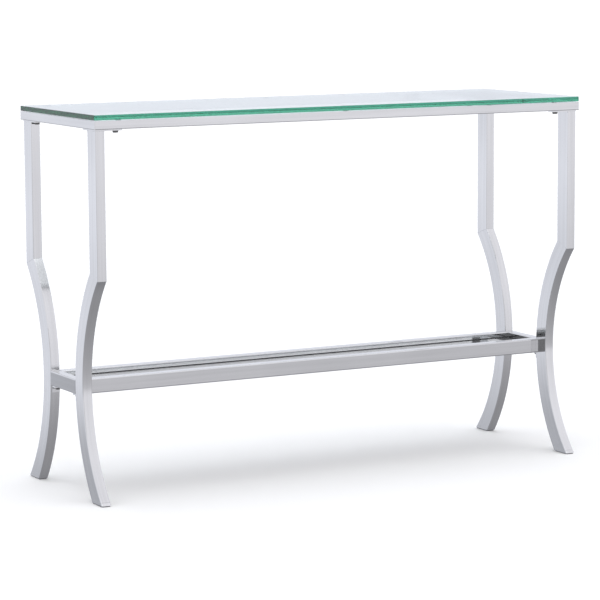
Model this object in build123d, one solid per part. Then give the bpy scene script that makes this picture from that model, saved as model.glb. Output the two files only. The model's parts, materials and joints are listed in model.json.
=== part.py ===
from build123d import *

import os
from math import asin, degrees, radians, tan

# A console table: a clear glass top on a polished tube frame, four legs that stand straight
# below the top and then bow inwards to a waist, and a mirrored shelf between the waists.
#
# Millimetres. +Z is up, the table's length lies along X and its front faces -Y.
# The origin is on the floor, under the middle of the top.

# ---------------------------------------------------------------- driving dimensions
TABLE_LENGTH = 1110.0
TABLE_DEPTH = 370.0
TABLE_HEIGHT = 762.0

GLASS_THICKNESS = 10.0
GLASS_CORNER_RADIUS = 3.0
GLASS_ARRIS = 0.8  # ground-off edge along the top and bottom faces

BUMPER_RADIUS = 6.0
BUMPER_HEIGHT = 1.0
BUMPER_SPACING = 500.0  # along the long rails

FRAME_WIDTH = 25.0  # top frame tube, seen from above
FRAME_HEIGHT = 17.0
FRAME_EDGE_RADIUS = 1.5
FRAME_CORNER_RADIUS = 2.0

LEG_WIDTH = 20.0  # leg tube along the table
LEG_DEPTH = 38.0  # leg tube across the table
LEG_EDGE_RADIUS = 2.0
LEG_INSET_X = 4.0  # from the frame's end face to the leg
LEG_INSET_Y = 7.0  # from the frame's front or back face to the leg

BOW_HEIGHT = 448.0  # floor to the mitred knee
BOW_SAGITTA = 79.0  # how far the waist lies inside the knee and the foot

TUBE_WALL = 1.5

PLATE_THICKNESS = 3.0
PLATE_REACH = 57.0  # from the leg's outer corner to each arm's end
PLATE_ARM_WIDTH = 18.0
PLATE_BOLT_REACH = 46.5

FOOT_CAP_HEIGHT = 6.0
GLIDE_HEIGHT = 2.0
GLIDE_INSET = 1.5
GLIDE_PEG_RADIUS = 3.0
GLIDE_PEG_HEIGHT = 4.0

SHELF_TOP = 235.5  # top of the shelf rails above the floor
SHELF_DEPTH = 140.0
SHELF_TUBE_WIDTH = 20.0
SHELF_TUBE_HEIGHT = 30.0
SHELF_EDGE_RADIUS = 2.5

MIRROR_DROP = 11.5  # from the rails' top down to the mirror
MIRROR_THICKNESS = 5.0
MIRROR_CLEARANCE = 1.0
BOARD_THICKNESS = 3.0
PAD_RADIUS = 4.0
PAD_HEIGHT = 1.0
PAD_SPACING = 170.0
LEDGE_WIDTH = 12.0
LEDGE_THICKNESS = 3.0

BRACKET_WIDTH = 16.0
BRACKET_THICKNESS = 3.0
BRACKET_FLANGE = 17.0  # level arm, away from the leg
BRACKET_DROP = 13.5  # upright arm, down the leg
BRACKET_BOLT_REACH = 11.0

# ---------------------------------------------------------------- fasteners
PLATE_BOLT = {"shank": 3.0, "head": 5.5, "head_height": 3.5, "reach": 11.0, "socket": 2.0}
PLATE_WASHER_RADIUS = 6.2
PLATE_INSERT = {"radius": 4.5, "length": 12.0}
BRACKET_BOLT = {"shank": 2.5, "head": 4.75, "head_height": 3.0, "reach": 10.0, "socket": 1.5}
BRACKET_WASHER_RADIUS = 5.2
BRACKET_INSERT = {"radius": 3.75, "length": 10.0}
WASHER_THICKNESS = 1.0
HOLE_CLEARANCE = 0.3

# ---------------------------------------------------------------- worked out
FRAME_TOP = TABLE_HEIGHT - GLASS_THICKNESS - BUMPER_HEIGHT
FRAME_BOTTOM = FRAME_TOP - FRAME_HEIGHT
PLATE_BOTTOM = FRAME_BOTTOM - PLATE_THICKNESS

LEG_OUTER_X = TABLE_LENGTH / 2 - LEG_INSET_X
LEG_OUTER_Y = TABLE_DEPTH / 2 - LEG_INSET_Y
LEG_X = LEG_OUTER_X - LEG_WIDTH / 2
LEG_Y = LEG_OUTER_Y - LEG_DEPTH / 2
LEG_INNER_X = LEG_OUTER_X - LEG_WIDTH

BOW_RADIUS = ((BOW_HEIGHT / 2) ** 2 + BOW_SAGITTA**2) / (2 * BOW_SAGITTA)
BOW_CENTRE_Y = LEG_Y - BOW_SAGITTA + BOW_RADIUS
BOW_CENTRE_Z = BOW_HEIGHT / 2
BOW_HALF_ANGLE = degrees(asin(BOW_HEIGHT / 2 / BOW_RADIUS))
BOW_INNER_RADIUS = BOW_RADIUS + LEG_DEPTH / 2  # the face that looks into the table
FOOT_TOP = GLIDE_HEIGHT + FOOT_CAP_HEIGHT

SHELF_BOTTOM = SHELF_TOP - SHELF_TUBE_HEIGHT
SHELF_INNER_Y = SHELF_DEPTH / 2 - SHELF_TUBE_WIDTH
MIRROR_TOP = SHELF_TOP - MIRROR_DROP
BOARD_TOP = MIRROR_TOP - MIRROR_THICKNESS
PAD_TOP = BOARD_TOP - BOARD_THICKNESS
LEDGE_TOP = PAD_TOP - PAD_HEIGHT

OVERLONG = 60.0  # stock left on a piece before its end is cut
SIDES = {"left": -1, "right": 1}
FACES = {"front": -1, "back": 1}
CORNERS = {f"{face}_{side}": (x, y) for side, x in SIDES.items() for face, y in FACES.items()}


# ---------------------------------------------------------------- shared shapes
def block(low, high):
    """A box between its lowest and highest corners."""
    size = [b - a for a, b in zip(low, high)]
    middle = [(a + b) / 2 for a, b in zip(low, high)]
    return Pos(*middle) * Box(*size)


def tube_section(width, height, radius, hollow=True):
    """The cross-section of a rounded rectangular tube, on the XY plane."""
    section = Sketch() + RectangleRounded(width, height, radius)
    if hollow:
        inner_radius = max(radius - TUBE_WALL, 0.5)
        section -= RectangleRounded(width - 2 * TUBE_WALL, height - 2 * TUBE_WALL, inner_radius)
    return section


def tube_along_x(length, width, height, radius):
    """A tube centred on the origin: length along X, width along Y, height along Z."""
    section = Plane.YZ * tube_section(width, height, radius)
    return Pos(-length / 2, 0, 0) * extrude(section, amount=length)


def tube_along_y(length, width, height, radius):
    """A tube centred on the origin: length along Y, width along X, height along Z."""
    return Rot(0, 0, 90) * tube_along_x(length, width, height, radius)


def upright_cylinder(x, y, bottom, top, radius):
    """A cylinder along Z between two heights."""
    return Pos(x, y, (bottom + top) / 2) * Cylinder(radius, top - bottom)


def at_corner(shape, x_side, y_side):
    """The back right corner's piece, mirrored to another corner."""
    if x_side < 0:
        shape = mirror(shape, about=Plane.YZ)
    if y_side < 0:
        shape = mirror(shape, about=Plane.XZ)
    return shape


def bolt(x, y, seat, size):
    """A socket-head bolt put in from below: its head hangs under the seat height."""
    head_bottom = seat - size["head_height"]
    head = upright_cylinder(x, y, head_bottom, seat, size["head"])
    head = fillet(head.edges().filter_by(GeomType.CIRCLE).sort_by(Axis.Z)[0], size["head_height"] / 2)
    shank = upright_cylinder(x, y, seat, seat + size["reach"], size["shank"])
    shank = chamfer(shank.edges().filter_by(GeomType.CIRCLE).sort_by(Axis.Z)[-1], 0.5)
    socket_depth = size["head_height"] * 0.6
    socket = RegularPolygon(size["socket"], 6, major_radius=False)
    socket = Pos(x, y, head_bottom) * extrude(Sketch() + socket, amount=socket_depth)
    return head + shank - socket


def washer(x, y, top, outer, inner):
    """A flat washer whose upper face is at a height."""
    bottom = top - WASHER_THICKNESS
    ring = upright_cylinder(x, y, bottom, top, outer)
    return ring - upright_cylinder(x, y, bottom, top, inner)


def threaded_insert(x, y, bottom, size, bore):
    """A sleeve set flush in a tube's lower wall."""
    top = bottom + size["length"]
    return upright_cylinder(x, y, bottom, top, size["radius"]) - upright_cylinder(x, y, bottom, top, bore)


# ---------------------------------------------------------------- top
def glass_top():
    """The glass, with rounded corners and a ground arris on every long edge."""
    outline = Sketch() + RectangleRounded(TABLE_LENGTH, TABLE_DEPTH, GLASS_CORNER_RADIUS)
    pane = Pos(0, 0, TABLE_HEIGHT - GLASS_THICKNESS) * extrude(outline, amount=GLASS_THICKNESS)
    rims = pane.edges().group_by(Axis.Z)
    return chamfer(rims[0] + rims[-1], GLASS_ARRIS)


def glass_bumpers():
    """Soft discs between the frame and the glass, three along each long rail."""
    y = TABLE_DEPTH / 2 - FRAME_WIDTH / 2
    places = [(x * BUMPER_SPACING, side * y) for x in (-1, 0, 1) for side in FACES.values()]
    return [upright_cylinder(px, py, FRAME_TOP, FRAME_TOP + BUMPER_HEIGHT, BUMPER_RADIUS) for px, py in places]


def plate_bolt_places():
    """Where the bolts of the back right leg plate go."""
    along = (LEG_OUTER_X - PLATE_BOLT_REACH, LEG_OUTER_Y - PLATE_ARM_WIDTH / 2)
    across = (LEG_X, LEG_OUTER_Y - PLATE_BOLT_REACH)
    return [along, across]


def frame_outline():
    """A prism of the frame's outline that rounds its four corners."""
    outline = Sketch() + RectangleRounded(TABLE_LENGTH, TABLE_DEPTH, FRAME_CORNER_RADIUS)
    return Pos(0, 0, FRAME_BOTTOM) * extrude(outline, amount=FRAME_HEIGHT)


def mitred_rail(tube, reach_x, reach_y):
    """A frame rail cut at 45 degrees, between the middle of the table and its outer side.

    reach_x and reach_y give the outer side's middle; one of the two is zero.
    """
    half_length, half_depth = TABLE_LENGTH / 2, TABLE_DEPTH / 2
    if reach_x:
        outer = [(reach_x, -half_depth), (reach_x, half_depth)]
        inner_x = reach_x - FRAME_WIDTH * (1 if reach_x > 0 else -1)
        inner = [(inner_x, half_depth - FRAME_WIDTH), (inner_x, FRAME_WIDTH - half_depth)]
    else:
        outer = [(-half_length, reach_y), (half_length, reach_y)]
        inner_y = reach_y - FRAME_WIDTH * (1 if reach_y > 0 else -1)
        inner = [(half_length - FRAME_WIDTH, inner_y), (FRAME_WIDTH - half_length, inner_y)]
    outline = make_face(Polyline(*outer, *inner, close=True))
    prism = extrude(Pos(0, 0, FRAME_BOTTOM) * outline, amount=FRAME_HEIGHT, dir=(0, 0, 1))
    rail = tube & prism & frame_outline()
    for x_side, y_side in CORNERS.values():
        for x, y in plate_bolt_places():
            hole = upright_cylinder(
                x_side * x, y_side * y, FRAME_BOTTOM, FRAME_BOTTOM + TUBE_WALL, PLATE_INSERT["radius"]
            )
            rail -= hole
    return rail


def top_rails():
    """The four frame rails by node name."""
    middle_z = FRAME_BOTTOM + FRAME_HEIGHT / 2
    long_tube = tube_along_x(TABLE_LENGTH, FRAME_WIDTH, FRAME_HEIGHT, FRAME_EDGE_RADIUS)
    short_tube = tube_along_y(TABLE_DEPTH, FRAME_WIDTH, FRAME_HEIGHT, FRAME_EDGE_RADIUS)
    rails = {}
    for face, sign in FACES.items():
        y = sign * TABLE_DEPTH / 2
        placed = Pos(0, y - sign * FRAME_WIDTH / 2, middle_z) * long_tube
        rails[f"top_rail_{face}"] = mitred_rail(placed, 0, y)
    for side, sign in SIDES.items():
        x = sign * TABLE_LENGTH / 2
        placed = Pos(x - sign * FRAME_WIDTH / 2, 0, middle_z) * short_tube
        rails[f"top_rail_{side}"] = mitred_rail(placed, x, 0)
    return rails


# ---------------------------------------------------------------- legs
def leg_plate():
    """The L-shaped plate on a leg's head, bolted up into both frame rails."""
    inner_x, inner_y = LEG_OUTER_X - PLATE_REACH, LEG_OUTER_Y - PLATE_REACH
    arm_y = LEG_OUTER_Y - PLATE_ARM_WIDTH
    along = block((inner_x, arm_y, PLATE_BOTTOM), (LEG_OUTER_X, LEG_OUTER_Y, FRAME_BOTTOM))
    across = block((LEG_INNER_X, inner_y, PLATE_BOTTOM), (LEG_OUTER_X, LEG_OUTER_Y, FRAME_BOTTOM))
    plate = along + across
    for x, y in plate_bolt_places():
        plate -= upright_cylinder(x, y, PLATE_BOTTOM, FRAME_BOTTOM, PLATE_BOLT["shank"] + HOLE_CLEARANCE)
    return plate


def knee_plane():
    """The mitre between an upright and its bow, facing up."""
    tilt = radians(BOW_HALF_ANGLE / 2)
    return Plane(origin=(0, LEG_Y, BOW_HEIGHT), x_dir=(1, 0, 0), z_dir=(0, tan(tilt), 1))


def leg_upright():
    """The straight upper tube, from the knee to the leg plate."""
    section = tube_section(LEG_WIDTH, LEG_DEPTH, LEG_EDGE_RADIUS)
    start = BOW_HEIGHT - OVERLONG
    tube = Pos(LEG_X, LEG_Y, start) * extrude(section, amount=PLATE_BOTTOM - start)
    return split(tube, bisect_by=knee_plane(), keep=Keep.TOP)


def bowed_bar(hollow):
    """The bow's tube or its solid outline, an arc longer than needed at both ends."""
    section = tube_section(LEG_WIDTH, LEG_DEPTH, LEG_EDGE_RADIUS, hollow)
    waist = Pos(LEG_X, BOW_CENTRE_Y - BOW_RADIUS, BOW_CENTRE_Z) * section
    spare = degrees(OVERLONG / BOW_RADIUS)
    sweep_angle = 2 * (BOW_HALF_ANGLE + spare)
    axis = Axis((0, BOW_CENTRE_Y, BOW_CENTRE_Z), (1, 0, 0))
    start = waist.rotate(axis, -sweep_angle / 2)
    return revolve(start, axis=axis, revolution_arc=sweep_angle)


def between_heights(shape, bottom, top):
    """The part of a shape between two heights."""
    shape = split(shape, bisect_by=Plane.XY.offset(bottom), keep=Keep.TOP)
    return split(shape, bisect_by=Plane.XY.offset(top), keep=Keep.BOTTOM)


def leg_bow():
    """The bowed lower tube, from the foot cap to the knee."""
    tube = split(bowed_bar(hollow=True), bisect_by=knee_plane(), keep=Keep.BOTTOM)
    return split(tube, bisect_by=Plane.XY.offset(FOOT_TOP), keep=Keep.TOP)


def foot_centre_y():
    """The middle of the bow's section at the glide's top."""
    rise = BOW_CENTRE_Z - GLIDE_HEIGHT
    inner = BOW_CENTRE_Y - (BOW_INNER_RADIUS**2 - rise**2) ** 0.5
    outer = BOW_CENTRE_Y - ((BOW_RADIUS - LEG_DEPTH / 2) ** 2 - rise**2) ** 0.5
    return (inner + outer) / 2


def foot_cap():
    """The plate that closes the bow's end, with a blind hole for the glide's peg."""
    cap = between_heights(bowed_bar(hollow=False), GLIDE_HEIGHT, FOOT_TOP)
    peg_top = GLIDE_HEIGHT + GLIDE_PEG_HEIGHT
    return cap - upright_cylinder(LEG_X, foot_centre_y(), GLIDE_HEIGHT, peg_top, GLIDE_PEG_RADIUS)


def foot_glide():
    """The floor pad under a foot cap, with its peg."""
    rise = BOW_CENTRE_Z - GLIDE_HEIGHT
    inner = BOW_CENTRE_Y - (BOW_INNER_RADIUS**2 - rise**2) ** 0.5
    outer = BOW_CENTRE_Y - ((BOW_RADIUS - LEG_DEPTH / 2) ** 2 - rise**2) ** 0.5
    length = outer - inner - 2 * GLIDE_INSET
    outline = Sketch() + RectangleRounded(LEG_WIDTH - 2 * GLIDE_INSET, length, LEG_EDGE_RADIUS)
    pad = Pos(LEG_X, foot_centre_y(), 0) * extrude(outline, amount=GLIDE_HEIGHT)
    pad = chamfer(pad.edges().group_by(Axis.Z)[0], 0.4)
    peg_top = GLIDE_HEIGHT + GLIDE_PEG_HEIGHT
    return pad + upright_cylinder(LEG_X, foot_centre_y(), GLIDE_HEIGHT, peg_top, GLIDE_PEG_RADIUS)


# ---------------------------------------------------------------- shelf
def waist_cutter():
    """A cylinder that fills everything outside the inner face of the back bows."""
    length = TABLE_LENGTH
    return Pos(0, BOW_CENTRE_Y, BOW_CENTRE_Z) * Rot(0, 90, 0) * Cylinder(BOW_INNER_RADIUS, length)


def bracket_bolt_place():
    """Where the back right shelf bracket's bolt goes."""
    return LEG_X, BOW_CENTRE_Y - BOW_INNER_RADIUS - BRACKET_BOLT_REACH


def shelf_rails():
    """The four shelf rails by node name: long rails between the legs, short ones between the waists."""
    middle_z = SHELF_TOP - SHELF_TUBE_HEIGHT / 2
    long_tube = tube_along_x(2 * LEG_INNER_X, SHELF_TUBE_WIDTH, SHELF_TUBE_HEIGHT, SHELF_EDGE_RADIUS)
    short_tube = tube_along_y(SHELF_DEPTH, SHELF_TUBE_WIDTH, SHELF_TUBE_HEIGHT, SHELF_EDGE_RADIUS)
    rails = {}
    for face, sign in FACES.items():
        y = sign * (SHELF_DEPTH - SHELF_TUBE_WIDTH) / 2
        rails[f"shelf_rail_{face}"] = Pos(0, y, middle_z) * long_tube
    cutter = waist_cutter()
    bolt_x, bolt_y = bracket_bolt_place()
    for side, sign in SIDES.items():
        rail = Pos(sign * LEG_X, 0, middle_z) * short_tube
        rail = rail - cutter - mirror(cutter, about=Plane.XZ)
        for face in FACES.values():
            wall_top = SHELF_BOTTOM + TUBE_WALL
            rail -= upright_cylinder(
                sign * bolt_x, face * bolt_y, SHELF_BOTTOM, wall_top, BRACKET_INSERT["radius"]
            )
        rails[f"shelf_rail_{side}"] = rail
    return rails


def shelf_ledges():
    """Flat strips inside the shelf rails that carry the panel, by node name."""
    bottom = LEDGE_TOP - LEDGE_THICKNESS
    ledges = {}
    inner_y = SHELF_INNER_Y - LEDGE_WIDTH
    long_ledge = block((-LEG_INNER_X, inner_y, bottom), (LEG_INNER_X, SHELF_INNER_Y, LEDGE_TOP))
    short_ledge = block((LEG_INNER_X - LEDGE_WIDTH, -inner_y, bottom), (LEG_INNER_X, inner_y, LEDGE_TOP))
    ledges["shelf_ledge_back"] = long_ledge
    ledges["shelf_ledge_front"] = mirror(long_ledge, about=Plane.XZ)
    ledges["shelf_ledge_right"] = short_ledge
    ledges["shelf_ledge_left"] = mirror(short_ledge, about=Plane.YZ)
    return ledges


def shelf_panel(bottom, top):
    """A panel that drops in between the shelf rails."""
    half_x = LEG_INNER_X - MIRROR_CLEARANCE
    half_y = SHELF_INNER_Y - MIRROR_CLEARANCE
    return block((-half_x, -half_y, bottom), (half_x, half_y, top))


def mirror_pads():
    """Soft pads on the long ledges, under the backing board."""
    y = SHELF_INNER_Y - LEDGE_WIDTH / 2
    places = [(step * PAD_SPACING, side * y) for step in range(-3, 4) for side in FACES.values()]
    return [upright_cylinder(px, py, LEDGE_TOP, PAD_TOP, PAD_RADIUS) for px, py in places]


def shelf_bracket():
    """The small angle on a waist's inner face that the short shelf rail sits on."""
    leg_face = BOW_CENTRE_Y - BOW_INNER_RADIUS
    low_x, high_x = LEG_X - BRACKET_WIDTH / 2, LEG_X + BRACKET_WIDTH / 2
    stock_y = leg_face + LEG_DEPTH / 4
    level = block(
        (low_x, leg_face - BRACKET_FLANGE, SHELF_BOTTOM - BRACKET_THICKNESS), (high_x, stock_y, SHELF_BOTTOM)
    )
    drop = block(
        (low_x, leg_face - BRACKET_THICKNESS, SHELF_BOTTOM - BRACKET_DROP), (high_x, stock_y, SHELF_BOTTOM)
    )
    x, y = bracket_bolt_place()
    hole = upright_cylinder(
        x, y, SHELF_BOTTOM - BRACKET_THICKNESS, SHELF_BOTTOM, BRACKET_BOLT["shank"] + HOLE_CLEARANCE
    )
    return level + drop - waist_cutter() - hole


# ---------------------------------------------------------------- fastener groups
def plate_fasteners():
    """Bolts, washers and threaded inserts of the four leg plates."""
    seat = PLATE_BOTTOM - WASHER_THICKNESS
    bolts, washers, inserts = [], [], []
    for x_side, y_side in CORNERS.values():
        for x, y in plate_bolt_places():
            place = (x_side * x, y_side * y)
            bolts.append(bolt(*place, seat, PLATE_BOLT))
            washers.append(washer(*place, PLATE_BOTTOM, PLATE_WASHER_RADIUS, PLATE_BOLT["shank"]))
            inserts.append(threaded_insert(*place, FRAME_BOTTOM, PLATE_INSERT, PLATE_BOLT["shank"]))
    return bolts, washers, inserts


def bracket_fasteners():
    """Bolts, washers and threaded inserts of the four shelf brackets."""
    level_bottom = SHELF_BOTTOM - BRACKET_THICKNESS
    x, y = bracket_bolt_place()
    bolts, washers, inserts = [], [], []
    for x_side, y_side in CORNERS.values():
        place = (x_side * x, y_side * y)
        bolts.append(bolt(*place, level_bottom - WASHER_THICKNESS, BRACKET_BOLT))
        washers.append(washer(*place, level_bottom, BRACKET_WASHER_RADIUS, BRACKET_BOLT["shank"]))
        inserts.append(threaded_insert(*place, SHELF_BOTTOM, BRACKET_INSERT, BRACKET_BOLT["shank"]))
    return bolts, washers, inserts


# ---------------------------------------------------------------- assembly
def build_nodes():
    """Every separate piece of the table by node name."""
    nodes = {"glass_top": glass_top(), "glass_bumpers": glass_bumpers()}
    nodes.update(top_rails())
    corner_pieces = {
        "leg_plate": leg_plate(),
        "leg_upright": leg_upright(),
        "leg_bow": leg_bow(),
        "foot_cap": foot_cap(),
        "foot_glide": foot_glide(),
        "shelf_bracket": shelf_bracket(),
    }
    for corner, (x_side, y_side) in CORNERS.items():
        for name, shape in corner_pieces.items():
            nodes[f"{name}_{corner}"] = at_corner(shape, x_side, y_side)
    nodes.update(shelf_rails())
    nodes.update(shelf_ledges())
    nodes["shelf_mirror"] = shelf_panel(BOARD_TOP, MIRROR_TOP)
    nodes["shelf_backing_board"] = shelf_panel(PAD_TOP, BOARD_TOP)
    nodes["mirror_pads"] = mirror_pads()
    bolts, washers, inserts = plate_fasteners()
    nodes["leg_plate_bolts"] = bolts
    nodes["leg_plate_washers"] = washers
    nodes["leg_plate_inserts"] = inserts
    bolts, washers, inserts = bracket_fasteners()
    nodes["shelf_bracket_bolts"] = bolts
    nodes["shelf_bracket_washers"] = washers
    nodes["shelf_bracket_inserts"] = inserts
    return nodes


def write_nodes(nodes):
    """One STEP file per node; a group of pieces becomes one compound."""
    os.makedirs("parts", exist_ok=True)
    for name, shape in nodes.items():
        solids = []
        for piece in shape if isinstance(shape, list) else [shape]:
            solids.extend(piece.solids())
        whole = solids[0] if len(solids) == 1 else Compound(children=solids)
        export_step(whole, f"parts/{name}.step")


write_nodes(build_nodes())
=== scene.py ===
import json
from math import asin, cos, pi, radians, sin, sqrt, tan

import bpy
from mathutils import Matrix, Vector


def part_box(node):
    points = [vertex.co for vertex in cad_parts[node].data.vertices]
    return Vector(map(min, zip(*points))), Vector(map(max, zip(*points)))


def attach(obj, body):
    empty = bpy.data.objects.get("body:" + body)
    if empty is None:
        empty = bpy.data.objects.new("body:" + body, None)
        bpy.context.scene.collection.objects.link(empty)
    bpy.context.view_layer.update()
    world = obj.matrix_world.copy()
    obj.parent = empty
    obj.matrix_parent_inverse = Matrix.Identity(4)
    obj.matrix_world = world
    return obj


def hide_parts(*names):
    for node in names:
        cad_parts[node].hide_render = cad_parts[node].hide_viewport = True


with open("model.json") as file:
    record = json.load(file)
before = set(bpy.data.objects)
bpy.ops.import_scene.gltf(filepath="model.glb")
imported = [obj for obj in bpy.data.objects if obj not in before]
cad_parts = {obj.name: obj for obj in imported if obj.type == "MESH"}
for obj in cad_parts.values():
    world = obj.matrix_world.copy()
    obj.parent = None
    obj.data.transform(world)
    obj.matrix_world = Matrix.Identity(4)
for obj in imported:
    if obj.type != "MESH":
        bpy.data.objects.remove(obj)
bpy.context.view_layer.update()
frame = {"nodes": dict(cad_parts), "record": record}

# A console table: a clear glass pane on a polished tube frame, four bowed legs and a mirrored
# shelf. Metres, in the CAD frame: X along the table, the front faces -Y, Z up from the floor.

MM = 0.001
CORNERS = {"front_left": (-1, -1), "front_right": (1, -1), "back_left": (-1, 1), "back_right": (1, 1)}

# ---------------------------------------------------------------- sizes, from the frame where it has them
GLASS_LOW, GLASS_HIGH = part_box("glass_top")
GLASS_CORNER_RADIUS = 3 * MM
GLASS_ARRIS = 0.8 * MM

UPRIGHT_LOW, UPRIGHT_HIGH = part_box("leg_upright_back_right")
BOW_LOW, BOW_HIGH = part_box("leg_bow_back_right")
LEG_X = (UPRIGHT_LOW.x + UPRIGHT_HIGH.x) / 2
LEG_Y = (UPRIGHT_LOW.y + UPRIGHT_HIGH.y) / 2
LEG_WIDTH = UPRIGHT_HIGH.x - UPRIGHT_LOW.x
LEG_DEPTH = UPRIGHT_HIGH.y - UPRIGHT_LOW.y
LEG_EDGE_RADIUS = 2 * MM
TUBE_WALL = 1.5 * MM

KNEE_HEIGHT = 448 * MM
SAGITTA = LEG_Y - LEG_DEPTH / 2 - BOW_LOW.y
BOW_RADIUS = ((KNEE_HEIGHT / 2) ** 2 + SAGITTA**2) / (2 * SAGITTA)
BOW_CENTRE_Y = LEG_Y - SAGITTA + BOW_RADIUS
BOW_CENTRE_Z = KNEE_HEIGHT / 2
KNEE_MITRE = asin(KNEE_HEIGHT / 2 / BOW_RADIUS) / 2

CAP_LOW, CAP_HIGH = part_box("foot_cap_back_right")
PEG_RADIUS = 3 * MM
PEG_HEIGHT = 4 * MM

MIRROR_LOW, MIRROR_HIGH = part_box("shelf_mirror")
MIRROR_CORNER_RADIUS = 1 * MM
MIRROR_ARRIS = 0.5 * MM
SILVER_THICKNESS = 0.1 * MM
SILVER_GAP = 0.05 * MM

# The near-black bead round the mirror: sealant, and painted shade for the gap beside the rails. Measured
# from the mirror's edge and top.
SEAL_WIDTH = 0.95 * MM
SEAL_LAP = 0.6 * MM  # over the mirror
SEAL_HEIGHT = 1.2 * MM
SEAL_DEPTH = 1.5 * MM
SEAL_GAP = 0.05 * MM  # beside the mirror's edge
SEAL_LIFT = 0.03 * MM  # above the mirror's top

SEAM = 0.2 * MM  # bevel that leaves a hairline where two tubes meet
BOW_STEPS = 72
FOOT_STEPS = 4
EDGE_STEPS = 6  # in each rounded corner
SHARPEST = 0.05 * MM  # least radius of an inset corner


# ---------------------------------------------------------------- meshes from rings
class Skin:
    """A closed mesh of rings that all have as many points, with exact normals where it is smooth."""

    def __init__(self):
        self.points = []
        self.faces = []
        self.normals = []
        self.slots = []

    def ring(self, points):
        start = len(self.points)
        self.points.extend(points)
        return range(start, len(self.points))

    def strip(self, a, b, normals_a=None, normals_b=None, slot=0):
        """Quads from ring a to ring b. Without normals the strip is flat shaded."""
        count = len(a)
        for i in range(count):
            j = (i + 1) % count
            self.faces.append((a[i], a[j], b[j], b[i]))
            self.slots.append(slot)
            if normals_a is None:
                self.normals.append(None)
            else:
                self.normals.append((normals_a[i], normals_a[j], normals_b[j], normals_b[i]))

    def cap(self, ring, first, slot=0):
        """One flat face over a ring: the first ring of the skin, or its last."""
        self.faces.append(tuple(reversed(ring)) if first else tuple(ring))
        self.normals.append(None)
        self.slots.append(slot)

    def turned_outwards(self):
        """True if the faces' winding encloses a positive volume."""
        volume = 0.0
        for face in self.faces:
            corner = self.points[face[0]]
            for i in range(1, len(face) - 1):
                volume += corner.dot(self.points[face[i]].cross(self.points[face[i + 1]]))
        return volume > 0

    def build(self, name, materials):
        if not self.turned_outwards():
            self.faces = [tuple(reversed(face)) for face in self.faces]
            self.normals = [given and tuple(reversed(given)) for given in self.normals]
        mesh = bpy.data.meshes.new(name)
        mesh.from_pydata(self.points, [], self.faces)
        for material in materials:
            mesh.materials.append(material)
        for polygon, slot in zip(mesh.polygons, self.slots):
            polygon.material_index = slot
            polygon.use_smooth = True
        mesh.update()
        corner_normals = []
        for polygon, given in zip(mesh.polygons, self.normals):
            corner_normals.extend(given or [polygon.normal.copy()] * len(polygon.vertices))
        mesh.normals_split_custom_set(corner_normals)
        piece = bpy.data.objects.new(name, mesh)
        bpy.context.collection.objects.link(piece)
        return piece


def stand_for(piece, slot, *nodes):
    """A piece rides on the table's one body, and the CAD nodes it takes the place of are hidden."""
    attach(piece, "root")
    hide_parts(*nodes)


def rounded_outline(width, depth, radius, inset=0.0):
    """Points and outward normals round a rounded rectangle, as pairs of 2D vectors."""
    inner_radius = max(radius - inset, SHARPEST)
    half_a = width / 2 - inset - inner_radius
    half_b = depth / 2 - inset - inner_radius
    outline = []
    for quarter, (side_a, side_b) in enumerate([(1, 1), (-1, 1), (-1, -1), (1, -1)]):
        for step in range(EDGE_STEPS + 1):
            angle = (quarter + step / EDGE_STEPS) * pi / 2
            normal = Vector((cos(angle), sin(angle)))
            outline.append((Vector((side_a * half_a, side_b * half_b)) + inner_radius * normal, normal))
    return outline


# ---------------------------------------------------------------- legs
def knee_angle(rho):
    """Where the arc of radius rho meets the knee's mitre."""
    return KNEE_MITRE + asin(BOW_RADIUS * sin(KNEE_MITRE) / rho)


def level_angle(rho, height):
    """Where the arc of radius rho meets a height."""
    return asin((height - BOW_CENTRE_Z) / rho)


def cap_top_angle(rho):
    return level_angle(rho, CAP_HIGH.z)


def cap_bottom_angle(rho):
    return level_angle(rho, CAP_LOW.z)


def arc_ring(section, sides, angle_of):
    """The section's points and normals where each one's arc reaches angle_of(rho)."""
    x_side, y_side = sides
    points, normals = [], []
    for place, normal in section:
        rho = BOW_RADIUS + place.y
        angle = angle_of(rho)
        y = BOW_CENTRE_Y - rho * cos(angle)
        z = BOW_CENTRE_Z + rho * sin(angle)
        points.append(Vector((x_side * (LEG_X + place.x), y_side * y, z)))
        out = (x_side * normal.x, -y_side * normal.y * cos(angle), normal.y * sin(angle))
        normals.append(Vector(out))
    return points, normals


def between(low_of, high_of, share, trim=0.0):
    """The angle at a share of each arc's length, trimmed at both ends."""

    def angle_of(rho):
        low = low_of(rho) + trim / rho
        high = high_of(rho) - trim / rho
        return low + (high - low) * share

    return angle_of


def leg_sections():
    outer = rounded_outline(LEG_WIDTH, LEG_DEPTH, LEG_EDGE_RADIUS)
    inset = rounded_outline(LEG_WIDTH, LEG_DEPTH, LEG_EDGE_RADIUS, SEAM)
    inner = rounded_outline(LEG_WIDTH, LEG_DEPTH, LEG_EDGE_RADIUS, TUBE_WALL)
    return outer, inset, inner


def run_of_rings(skin, rings, slot=0):
    """Adds rings of points and normals with smooth strips between them; gives the first and last ring."""
    first = previous = skin.ring(rings[0][0])
    for (_, normals_a), (points, normals_b) in zip(rings, rings[1:]):
        current = skin.ring(points)
        skin.strip(previous, current, normals_a, normals_b, slot)
        previous = current
    return first, previous


def hollow_tube(skin, outer_rings, inset_ends, inner_rings):
    """A tube: outer wall, bevelled ends and inner wall."""
    outer_first, outer_last = run_of_rings(skin, outer_rings)
    start, end = (skin.ring(points) for points in inset_ends)
    inner_rings = [(points, [-n for n in normals]) for points, normals in reversed(inner_rings)]
    inner_first, inner_last = run_of_rings(skin, inner_rings)
    skin.strip(start, outer_first)
    skin.strip(outer_last, end)
    skin.strip(end, inner_first)
    skin.strip(inner_last, start)


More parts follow.
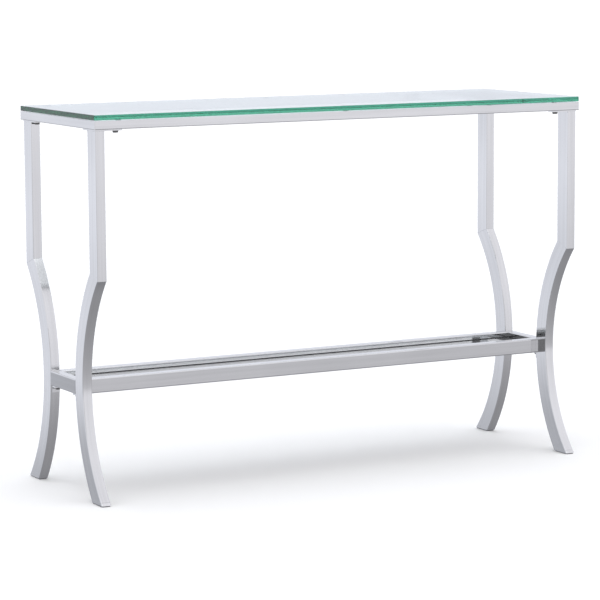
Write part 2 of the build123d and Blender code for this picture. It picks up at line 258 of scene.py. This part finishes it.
def bow_tube(corner, sides, material):
    """The bowed lower tube of a leg, from the foot cap to the knee."""
    outer, inset, inner = leg_sections()
    shares = [step / BOW_STEPS for step in range(BOW_STEPS + 1)]
    skin = Skin()
    outer_rings = [arc_ring(outer, sides, between(cap_top_angle, knee_angle, s, SEAM)) for s in shares]
    inner_rings = [arc_ring(inner, sides, between(cap_top_angle, knee_angle, s)) for s in shares]
    ends = [arc_ring(inset, sides, end)[0] for end in (cap_top_angle, knee_angle)]
    hollow_tube(skin, outer_rings, ends, inner_rings)
    piece = skin.build(f"bow_tube_{corner}", [material])
    stand_for(piece, "polished_tube", f"leg_bow_{corner}")


def upright_ring(section, sides, share, trim=0.0):
    """A ring of the straight upper tube; at share 0 it lies on the knee's mitre."""
    x_side, y_side = sides
    points, normals = [], []
    for place, normal in section:
        low = KNEE_HEIGHT + place.y * tan(KNEE_MITRE) + trim
        z = low + (UPRIGHT_HIGH.z - trim - low) * share
        points.append(Vector((x_side * (LEG_X + place.x), y_side * (LEG_Y - place.y), z)))
        normals.append(Vector((x_side * normal.x, -y_side * normal.y, 0)))
    return points, normals


def upright_tube(corner, sides, material):
    """The straight upper tube of a leg, from the knee to the leg plate."""
    outer, inset, inner = leg_sections()
    skin = Skin()
    outer_rings = [upright_ring(outer, sides, share, SEAM) for share in (0, 1)]
    inner_rings = [upright_ring(inner, sides, share) for share in (0, 1)]
    ends = [upright_ring(inset, sides, share)[0] for share in (0, 1)]
    hollow_tube(skin, outer_rings, ends, inner_rings)
    piece = skin.build(f"upright_tube_{corner}", [material])
    stand_for(piece, "polished_tube", f"leg_upright_{corner}")


def foot_plug(corner, sides, material):
    """The plate that closes a foot, with the blind hole for the glide's peg."""
    outer, inset, _ = leg_sections()
    skin = Skin()
    shares = [step / FOOT_STEPS for step in range(FOOT_STEPS + 1)]
    top_points = arc_ring(inset, sides, cap_top_angle)[0]
    bottom_points = arc_ring(inset, sides, cap_bottom_angle)[0]
    sole_y = [point.y for point in bottom_points]
    centre = Vector((sides[0] * LEG_X, (min(sole_y) + max(sole_y)) / 2, CAP_LOW.z))
    hole, roof = [], []
    for point in bottom_points:
        around = (point - centre).normalized() * PEG_RADIUS
        hole.append(centre + around)
        roof.append(centre + around + Vector((0, 0, PEG_HEIGHT)))
    top = skin.ring(top_points)
    angles = [between(cap_bottom_angle, cap_top_angle, s, SEAM) for s in reversed(shares)]
    first, last = run_of_rings(skin, [arc_ring(outer, sides, angle) for angle in angles])
    bottom, hole_ring, roof_ring = skin.ring(bottom_points), skin.ring(hole), skin.ring(roof)
    skin.cap(top, first=True)
    skin.strip(top, first)
    skin.strip(last, bottom)
    skin.strip(bottom, hole_ring)
    skin.strip(hole_ring, roof_ring)
    skin.cap(roof_ring, first=False)
    piece = skin.build(f"foot_plug_{corner}", [material])
    stand_for(piece, "polished_tube", f"foot_cap_{corner}")


# ---------------------------------------------------------------- panes
def pane_skin(low, high, radius, arris, face_slot, edge_slot, arris_slot):
    """A flat pane with rounded corners and a ground arris along its top and bottom edges."""
    centre = (low + high) / 2
    outline = rounded_outline(high.x - low.x, high.y - low.y, radius)
    inset = rounded_outline(high.x - low.x, high.y - low.y, radius, arris)
    slope = sqrt(0.5)

    def level(section, z):
        return [Vector((centre.x + place.x, centre.y + place.y, z)) for place, _ in section]

    def leaning(up):
        spread = slope if up else 1
        return [Vector((n.x * spread, n.y * spread, up * slope)) for _, n in outline]

    skin = Skin()
    rings = [
        skin.ring(level(inset, low.z)),
        skin.ring(level(outline, low.z + arris)),
        skin.ring(level(outline, high.z - arris)),
        skin.ring(level(inset, high.z)),
    ]
    skin.cap(rings[0], first=True, slot=face_slot)
    for lean, slot, lower, upper in zip((-1, 0, 1), (arris_slot, edge_slot, arris_slot), rings, rings[1:]):
        skin.strip(lower, upper, leaning(lean), leaning(lean), slot)
    skin.cap(rings[3], first=False, slot=face_slot)
    return skin


def glass_pane(faces, edges):
    """The glass top: clear faces and polished green edges."""
    skin = pane_skin(GLASS_LOW, GLASS_HIGH, GLASS_CORNER_RADIUS, GLASS_ARRIS, 0, 1, 1)
    piece = skin.build("glass_pane", [faces, edges])
    stand_for(piece, "clear_glass", "glass_top")


def shelf_mirror(faces, paint, silver):
    """The shelf's mirror: a clear pane with painted edges over a thin silvered layer."""
    pane_low = MIRROR_LOW + Vector((0, 0, SILVER_THICKNESS + SILVER_GAP))
    skin = pane_skin(pane_low, MIRROR_HIGH, MIRROR_CORNER_RADIUS, MIRROR_ARRIS, 0, 1, 1)
    pane = skin.build("mirror_pane", [faces, paint])
    stand_for(pane, "mirror_glass", "shelf_mirror")
    layer_high = Vector((MIRROR_HIGH.x, MIRROR_HIGH.y, MIRROR_LOW.z + SILVER_THICKNESS))
    inset = Vector((MIRROR_ARRIS, MIRROR_ARRIS, 0))
    skin = pane_skin(
        MIRROR_LOW + inset, layer_high - inset, MIRROR_CORNER_RADIUS, SILVER_THICKNESS / 4, 0, 0, 0
    )
    layer = skin.build("mirror_silvering", [silver])
    stand_for(layer, "mirror_glass", "shelf_mirror")


def seal_bead_and_gap_shade(material):
    """A near-black fillet in the gap round the mirror, leaning on the rails' inner walls: sealant, and
    painted shade for the gap.
    """
    centre = (MIRROR_LOW + MIRROR_HIGH) / 2
    width, depth = (MIRROR_HIGH - MIRROR_LOW).xy
    top = MIRROR_HIGH.z
    profile = [  # distance out from the mirror's edge, and height
        (SEAL_WIDTH, top - SEAL_DEPTH),
        (SEAL_GAP, top - SEAL_DEPTH),
        (SEAL_GAP, top + SEAL_LIFT),
        (-SEAL_LAP, top + SEAL_LIFT),
        (2 * SEAL_GAP, top + SEAL_HEIGHT / 4),
        (SEAL_WIDTH, top + SEAL_HEIGHT),
    ]
    skin = Skin()
    rings = []
    for out, height in profile:
        outline = rounded_outline(width + 2 * out, depth + 2 * out, MIRROR_CORNER_RADIUS)
        points = [Vector((centre.x + place.x, centre.y + place.y, height)) for place, _ in outline]
        rings.append(skin.ring(points))
    for ring, following in zip(rings, rings[1:] + rings[:1]):
        skin.strip(ring, following)
    piece = skin.build("mirror_seal_and_gap_shade", [material])
    stand_for(piece, "mirror_glass", "shelf_mirror")


# ---------------------------------------------------------------- node helpers
class Nodes:
    """A node tree, with short ways to add and link nodes."""

    def __init__(self, tree):
        self.tree = tree

    def node(self, kind, inputs=None, **settings):
        made = self.tree.nodes.new(kind)
        for key, value in settings.items():
            setattr(made, key, value)
        for key, value in (inputs or {}).items():
            self.feed(made.inputs[key], value)
        return made

    def feed(self, socket, value):
        if isinstance(value, bpy.types.NodeSocket):
            self.tree.links.new(value, socket)
        else:
            socket.default_value = value

    def math(self, operation, *values):
        made = self.node("ShaderNodeMath", operation=operation)
        for socket, value in zip(made.inputs, values):
            self.feed(socket, value)
        return made.outputs[0]

    def parts(self, vector):
        """A vector's X, Y and Z."""
        return self.node("ShaderNodeSeparateXYZ", {"Vector": vector}).outputs

    def ranged(self, value, low, high, to_low, to_high, smooth=False):
        inputs = {"Value": value, "From Min": low, "From Max": high, "To Min": to_low, "To Max": to_high}
        kind = "SMOOTHSTEP" if smooth else "LINEAR"
        return self.node("ShaderNodeMapRange", inputs, interpolation_type=kind).outputs["Result"]

    def mixed(self, share, color_a, color_b):
        """A mix of two colours; each is red, green and blue, or a socket."""
        made = self.node("ShaderNodeMix", data_type="RGBA")
        factor = next(socket for socket in made.inputs if socket.name == "Factor" and socket.enabled)
        ends = [socket for socket in made.inputs if socket.type == "RGBA"]
        self.feed(factor, share)
        for socket, color in zip(ends, (color_a, color_b)):
            self.feed(socket, color if isinstance(color, bpy.types.NodeSocket) else (*color, 1))
        return next(socket for socket in made.outputs if socket.type == "RGBA")


class Shader(Nodes):
    """A material's node tree, built on the object's own coordinates."""

    def __init__(self, name):
        self.material = bpy.data.materials.new(name)
        self.material.use_nodes = True
        super().__init__(self.material.node_tree)
        self.bsdf = self.tree.nodes["Principled BSDF"]
        self.output = self.tree.nodes["Material Output"]
        self.coords = self.node("ShaderNodeTexCoord").outputs["Object"]

    def set(self, **values):
        """Feeds the shader's sockets, each named in lower case with underscores."""
        for key, value in values.items():
            name = key.replace("_", " ").title().replace("Ior", "IOR")
            self.feed(self.bsdf.inputs[name], value)

    def stretched(self, scale, vector=None):
        """Coordinates scaled differently along each axis."""
        inputs = {"Vector": vector or self.coords, "Scale": scale}
        return self.node("ShaderNodeMapping", inputs).outputs["Vector"]

    def along_bow(self):
        """Coordinates that follow a leg's bow: across it in X, outwards in Y and along its arc in Z."""
        place = self.parts(self.coords)
        sideways = self.math("SUBTRACT", self.math("ABSOLUTE", place["Y"]), BOW_CENTRE_Y)
        upwards = self.math("SUBTRACT", place["Z"], BOW_CENTRE_Z)
        square = self.math("ADD", self.math("POWER", sideways, 2.0), self.math("POWER", upwards, 2.0))
        angle = self.math("ARCTAN2", upwards, self.math("MULTIPLY", sideways, -1.0))
        inputs = {
            "X": place["X"],
            "Y": self.math("POWER", square, 0.5),
            "Z": self.math("MULTIPLY", angle, BOW_RADIUS),
        }
        return self.node("ShaderNodeCombineXYZ", inputs).outputs["Vector"]

    def noise(self, scale, detail=2.0, vector=None, roughness=0.5):
        inputs = {"Vector": vector or self.coords, "Scale": scale, "Detail": detail, "Roughness": roughness}
        return self.node("ShaderNodeTexNoise", inputs).outputs["Fac"]

    def bump(self, height, distance, strength=1.0, normal=None):
        inputs = {"Height": height, "Distance": distance, "Strength": strength}
        if normal is not None:
            inputs["Normal"] = normal
        return self.node("ShaderNodeBump", inputs).outputs["Normal"]


# ---------------------------------------------------------------- materials
def polished_tube_material(name, along, lean_axis=None, lean_degrees=0.0, bowed=False, smoothest=0.03):
    """Chrome on steel: smudges, polishing lines that run along the tube, and a faint ripple.

    A lean tilts the walls that run along lean_axis, as walls of a bent or welded tube do.
    On a bowed tube the lines follow its arc. The least roughness, where it is cleanest, is smoothest.
    """
    s = Shader(name)
    lengthwise = s.along_bow() if bowed else s.coords
    haze = s.noise(5.0, 3.0)
    smudge = s.noise(38.0, 5.0)
    streak_scale = [2.5 if axis == along else 140.0 for axis in "XYZ"]
    streaks = s.noise(1.0, 3.0, s.stretched(streak_scale, lengthwise))
    shade = s.ranged(s.math("ADD", haze, streaks), 0.7, 1.3, 0.0, 1.0)
    s.set(base_color=s.mixed(shade, (0.66, 0.66, 0.66), (0.74, 0.74, 0.74)), metallic=1.0)
    hazed = s.ranged(haze, 0.35, 0.65, smoothest, smoothest + 0.02)
    smudged = s.ranged(smudge, 0.45, 0.75, 0.0, 0.04)
    s.set(roughness=s.math("ADD", hazed, smudged))
    normal = None
    if lean_axis:
        slope = s.math("MULTIPLY", s.parts(s.coords)[lean_axis], tan(radians(lean_degrees)))
        normal = s.bump(slope, 1.0)
    line_scale = [6.0 if axis == along else 260.0 for axis in "XYZ"]
    lines = s.noise(1.0, 2.0, s.stretched(line_scale, lengthwise))
    lined = s.bump(lines, 0.004 * MM, 0.5, normal)
    s.set(normal=s.bump(s.noise(22.0, 1.0), 0.06 * MM, 0.35, lined))
    return s.material


def bow_material(side, lean_degrees, smoothest):
    """Chrome whose lines follow a leg's bow, for the front or the back bows."""
    return polished_tube_material(
        f"polished_tube_bow_{side}", "Z", "Y", lean_degrees, bowed=True, smoothest=smoothest
    )


GLASS_IOR = 1.52


def absorbing(s):
    """Green body colour of float glass, which only shows through a long path."""
    inputs = {"Color": (0.0, 0.64, 0.49, 1), "Density": 4.3}
    volume = s.node("ShaderNodeVolumeAbsorption", inputs)
    s.tree.links.new(volume.outputs[0], s.output.inputs["Volume"])


def glass_face_material():
    """Clear float glass: a slow roller wave and a trace of finger marks."""
    s = Shader("clear_glass")
    s.set(base_color=(1, 1, 1, 1), transmission_weight=1.0, ior=GLASS_IOR)
    marks = s.noise(26.0, 6.0)
    s.set(roughness=s.ranged(marks, 0.55, 0.8, 0.0, 0.03))
    s.set(normal=s.bump(s.noise(3.0, 1.0), 0.02 * MM, 0.5))
    absorbing(s)
    return s.material


def glass_edge_material():
    """The pane's ground and polished edge, with fine lines along it."""
    s = Shader("glass_edge")
    s.set(base_color=(0.36, 0.68, 0.57, 1), transmission_weight=1.0, ior=GLASS_IOR)
    s.set(roughness=s.ranged(s.noise(60.0, 4.0), 0.4, 0.7, 0.01, 0.06))
    s.set(normal=s.bump(s.noise(1.0, 2.0, s.stretched((12, 12, 900))), 0.01 * MM, 0.4))
    absorbing(s)
    return s.material


def mirror_silver_material():
    """Silvering seen through the mirror's pane."""
    s = Shader("mirror_silver")
    s.set(base_color=(0.48, 0.49, 0.49, 1), metallic=1.0)
    s.set(roughness=s.ranged(s.noise(7.0, 3.0), 0.3, 0.7, 0.0, 0.015))
    return s.material


def mirror_paint_material():
    """Dark sealing paint round the mirror's edge."""
    s = Shader("mirror_edge_paint")
    s.set(base_color=s.mixed(s.noise(80.0, 3.0), (0.03, 0.035, 0.035), (0.06, 0.065, 0.065)))
    s.set(roughness=s.ranged(s.noise(120.0, 2.0), 0.3, 0.7, 0.4, 0.6))
    s.set(normal=s.bump(s.noise(400.0, 2.0), 0.05 * MM, 0.5))
    return s.material


def seal_and_gap_shade_material():
    """Near-black bead between the mirror and the rails: sealant, and painted shade for the gap between them.
    """
    s = Shader("mirror_seal_and_gap_shade")
    # near-black colour: the sealant's own, and painted shade for the gap round the mirror
    s.set(base_color=s.mixed(s.noise(150.0, 3.0), (0.012, 0.012, 0.012), (0.03, 0.03, 0.03)))
    s.set(roughness=s.ranged(s.noise(90.0, 2.0), 0.3, 0.7, 0.45, 0.7))
    s.set(normal=s.bump(s.noise(260.0, 2.0), 0.15 * MM, 0.5))
    return s.material


def bumper_material():
    """Clear soft polyurethane, slightly yellowed and dusty."""
    s = Shader("clear_bumper")
    s.set(base_color=s.mixed(s.noise(300.0, 3.0), (0.78, 0.80, 0.79), (0.88, 0.89, 0.87)))
    s.set(roughness=s.ranged(s.noise(500.0, 3.0), 0.3, 0.7, 0.18, 0.42), subsurface_weight=0.25)
    s.set(normal=s.bump(s.noise(700.0, 2.0), 0.05 * MM, 0.4))
    return s.material


def foot_plastic_material():
    """Grey moulded plastic with a fine grain and scuffs from the floor."""
    s = Shader("foot_plastic")
    scuffs = s.ranged(s.noise(180.0, 6.0, roughness=0.7), 0.5, 0.7, 0.0, 1.0)
    s.set(base_color=s.mixed(scuffs, (0.17, 0.17, 0.18), (0.28, 0.28, 0.28)))
    s.set(roughness=s.ranged(scuffs, 0.0, 1.0, 0.42, 0.65))
    s.set(normal=s.bump(s.noise(900.0, 2.0), 0.08 * MM, 0.5))
    return s.material


def bolt_steel_material():
    """Dark zinc plating with uneven tarnish."""
    s = Shader("bolt_steel")
    tarnish = s.noise(220.0, 5.0)
    s.set(base_color=s.mixed(tarnish, (0.13, 0.13, 0.135), (0.24, 0.235, 0.22)), metallic=1.0)
    s.set(roughness=s.ranged(tarnish, 0.3, 0.7, 0.28, 0.48))
    s.set(normal=s.bump(s.noise(600.0, 3.0), 0.04 * MM, 0.5))
    return s.material


def backing_board_material():
    """Dark hardboard: long fibres on a mottled ground."""
    s = Shader("backing_board")
    fibres = s.noise(1.0, 4.0, s.stretched((40.0, 420.0, 420.0)), 0.6)
    mottle = s.noise(30.0, 4.0)
    shade = s.ranged(s.math("MULTIPLY", fibres, mottle), 0.15, 0.4, 0.0, 1.0)
    s.set(base_color=s.mixed(shade, (0.030, 0.024, 0.020), (0.085, 0.064, 0.050)))
    s.set(roughness=s.ranged(mottle, 0.3, 0.7, 0.6, 0.85))
    s.set(normal=s.bump(fibres, 0.12 * MM, 0.6))
    return s.material


# ---------------------------------------------------------------- stage
FLOOR_SIZE = 140.0


def add_floor():
    """A pale floor that is see-through from below, so that the table's underside can be looked at."""
    half = FLOOR_SIZE / 2
    corners = [(-half, -half, 0), (half, -half, 0), (half, half, 0), (-half, half, 0)]
    mesh = bpy.data.meshes.new("floor")
    mesh.from_pydata(corners, [], [(0, 1, 2, 3)])
    floor = bpy.data.objects.new("floor", mesh)
    bpy.context.collection.objects.link(floor)
    s = Shader("floor")
    s.set(base_color=(0.93, 0.925, 0.885, 1), roughness=0.6, specular_ior_level=0.0)
    clear = s.node("ShaderNodeBsdfTransparent")
    backface = s.node("ShaderNodeNewGeometry").outputs["Backfacing"]
    mix = s.node("ShaderNodeMixShader", {0: backface, 1: s.bsdf.outputs[0], 2: clear.outputs[0]})
    s.tree.links.new(mix.outputs[0], s.output.inputs["Surface"])
    mesh.materials.append(s.material)
    floor.visible_glossy = False


# Brightness by height above the horizon, in degrees: in front of the table and behind it.
FRONT_SKY = [
    (-90, 0.15), (-82, 0.15), (-76, 0.38), (-60, 0.37), (-45, 0.41), (-30, 0.47), (-19, 0.54),
    (-12, 0.63), (-9.2, 0.70), (-6.8, 0.90), (-4, 0.96), (1.5, 0.95), (12, 0.99), (32, 1.03),
    (58, 0.99), (68, 1.60), (75, 2.60), (90, 2.60),
]
BACK_SKY = [
    (-90, 0.15), (-80, 0.15), (-70, 0.30), (-30, 0.42), (-13, 0.53), (-11.2, 0.55), (-10.7, 0.61),
    (-10.1, 0.80), (-9.4, 0.95), (-8.3, 0.93), (-7.2, 0.89), (-6.4, 0.96), (-5.3, 1.01), (-4.2, 0.94),
    (3.5, 0.86), (9, 0.89), (30, 1.00), (58, 1.00), (68, 1.60), (75, 2.60), (90, 2.60),
]
FRONT_TINT = (1.0, 1.0, 1.06)
BACK_TINT = (0.975, 1.0, 1.09)
BRIGHTEST = 2.8
BACKDROP = 1.0
FRONT_TO_BACK = 0.3  # half the width of the blend between front and back, as a share of the direction
# Below the horizon, height counts for more by SIDE_GAIN for each unit that a direction points further
# sideways than SIDE_START, and for less where it points less far sideways.
SIDE_START = 0.32
SIDE_GAIN = 0.6
# Parts of the room that are darker or brighter than the rest: direction as azimuth from -Y towards +X and
# elevation, radius where the part is full and where it has faded, all in degrees, and its brightness.
ROOM_PARTS = [
    (-32.0, 8.9, 8, 15, 0.26),
    (-28.0, -8.7, 4, 7, 0.29),
    (-37.8, -7.6, 3, 6, 0.90),
]


def heading(azimuth, elevation):
    """The direction at an azimuth from -Y towards +X and a height above the horizon, in degrees."""
    turn, rise = radians(azimuth), radians(elevation)
    return Vector((sin(turn) * cos(rise), -cos(turn) * cos(rise), sin(rise)))


def share_of_brightest(level, tint):
    """A brightness and tint as a colour; the background's strength brings it back to that brightness."""
    return [level / BRIGHTEST * part for part in tint]


def sky_ramp(world, height, stops, tint):
    """Colour by height, which runs from 0 straight down to 1 straight up."""
    made = world.node("ShaderNodeValToRGB", {"Fac": height})
    elements = made.color_ramp.elements
    while len(elements) < len(stops):
        elements.new(0.5)
    for element, (degrees_up, level) in zip(elements, stops):
        element.position = (sin(radians(degrees_up)) + 1) / 2
        element.color = (*share_of_brightest(level, tint), 1)
    return made.outputs["Color"]


def sky_height(world, toward):
    """Height of a direction, from 0 to 1, after the gain to the sides."""
    sideways = world.math("ABSOLUTE", toward["X"])
    spread = world.math("MULTIPLY_ADD", sideways, SIDE_GAIN, -SIDE_START * SIDE_GAIN)
    below = world.math("MINIMUM", toward["Z"], 0.0)
    return world.ranged(world.math("MULTIPLY_ADD", below, spread, toward["Z"]), -1.0, 1.0, 0.0, 1.0)


def add_world():
    """A pale studio: bright at the horizon and overhead, grey below, with darker and brighter parts."""
    studio = bpy.data.worlds.new("studio")
    studio.use_nodes = True
    world = Nodes(studio.node_tree)
    direction = world.node("ShaderNodeTexCoord").outputs["Generated"]
    toward = world.parts(direction)
    height = sky_height(world, toward)
    front = sky_ramp(world, height, FRONT_SKY, FRONT_TINT)
    back = sky_ramp(world, height, BACK_SKY, BACK_TINT)
    behind = world.ranged(toward["Y"], -FRONT_TO_BACK, FRONT_TO_BACK, 0.0, 1.0, smooth=True)
    sky = world.mixed(behind, front, back)
    for azimuth, elevation, full, faded, level in ROOM_PARTS:
        inputs = {0: direction, 1: heading(azimuth, elevation)}
        nearness = world.node("ShaderNodeVectorMath", inputs, operation="DOT_PRODUCT").outputs["Value"]
        share = world.ranged(nearness, cos(radians(faded)), cos(radians(full)), 0.0, 1.0, smooth=True)
        sky = world.mixed(share, sky, share_of_brightest(level, FRONT_TINT))
    seen_directly = world.node("ShaderNodeLightPath").outputs["Is Camera Ray"]
    shown = world.mixed(seen_directly, sky, share_of_brightest(BACKDROP, (1, 1, 1)))
    background = studio.node_tree.nodes["Background"]
    world.feed(background.inputs["Color"], shown)
    world.feed(background.inputs["Strength"], BRIGHTEST)
    bpy.context.scene.world = studio


CAMERA_PLACE = (-2.606, -4.826, 1.083)
CAMERA_YAW = 28.24
CAMERA_PITCH = 7.63
CAMERA_ROLL = 0.36
CAMERA_LENS = 159.5
CAMERA_SENSOR = 36.0


def add_camera():
    data = bpy.data.cameras.new("camera")
    data.lens = CAMERA_LENS
    data.sensor_width = CAMERA_SENSOR
    camera = bpy.data.objects.new("camera", data)
    turn = Matrix.Rotation(-radians(CAMERA_YAW), 4, "Z")
    tilt = Matrix.Rotation(radians(90 - CAMERA_PITCH), 4, "X")
    roll = Matrix.Rotation(-radians(CAMERA_ROLL), 4, "Z")
    camera.matrix_world = Matrix.Translation(CAMERA_PLACE) @ turn @ tilt @ roll
    bpy.context.collection.objects.link(camera)
    bpy.context.scene.camera = camera


GLASS_BOUNCES = 48
ALL_BOUNCES = 64


def allow_deep_glass():
    """Lets light turn back and forth often enough between the pane's faces to leave through its far edge."""
    cycles = bpy.context.scene.cycles
    cycles.max_bounces = ALL_BOUNCES
    cycles.glossy_bounces = GLASS_BOUNCES
    cycles.transmission_bounces = GLASS_BOUNCES


# ---------------------------------------------------------------- assembly
chrome_x = polished_tube_material("polished_tube_x", "X")
chrome_y = polished_tube_material("polished_tube_y", "Y")
chrome_leg = polished_tube_material("polished_tube_leg", "Z", lean_axis="Y", lean_degrees=-2.5)
chrome_bows = {
    "front": bow_material("front", lean_degrees=-1.3, smoothest=0.05),
    "back": bow_material("back", lean_degrees=-3.3, smoothest=0.13),
}
chrome_shelf_end = polished_tube_material("polished_tube_shelf_end", "Y", lean_axis="Z", lean_degrees=2.5)
glass_faces = glass_face_material()
materials = {
    "clear_glass": glass_faces,
    "polished_tube": chrome_x,
    "mirror_glass": glass_faces,
    "backing_board": backing_board_material(),
    "clear_bumper": bumper_material(),
    "foot_plastic": foot_plastic_material(),
    "bolt_steel": bolt_steel_material(),
}
own_materials = {
    "top_rail_left": chrome_y,
    "top_rail_right": chrome_y,
    "shelf_ledge_left": chrome_y,
    "shelf_ledge_right": chrome_y,
    "shelf_rail_left": chrome_shelf_end,
    "shelf_rail_right": chrome_shelf_end,
}
slots = {row["node"]: row["material_slot"] for row in frame["record"]["subparts"]}
for name, node in frame["nodes"].items():
    node.data.materials.clear()
    node.data.materials.append(own_materials.get(name, materials[slots[name]]))

for corner, sides in CORNERS.items():
    chrome_bow = chrome_bows[corner.split("_")[0]]
    bow_tube(corner, sides, chrome_bow)
    upright_tube(corner, sides, chrome_leg)
    foot_plug(corner, sides, chrome_bow)
glass_pane(glass_faces, glass_edge_material())
shelf_mirror(glass_faces, mirror_paint_material(), mirror_silver_material())
seal_bead_and_gap_shade(seal_and_gap_shade_material())

add_floor()
add_world()
add_camera()
allow_deep_glass()
bpy.context.scene.view_settings.view_transform = "Standard"
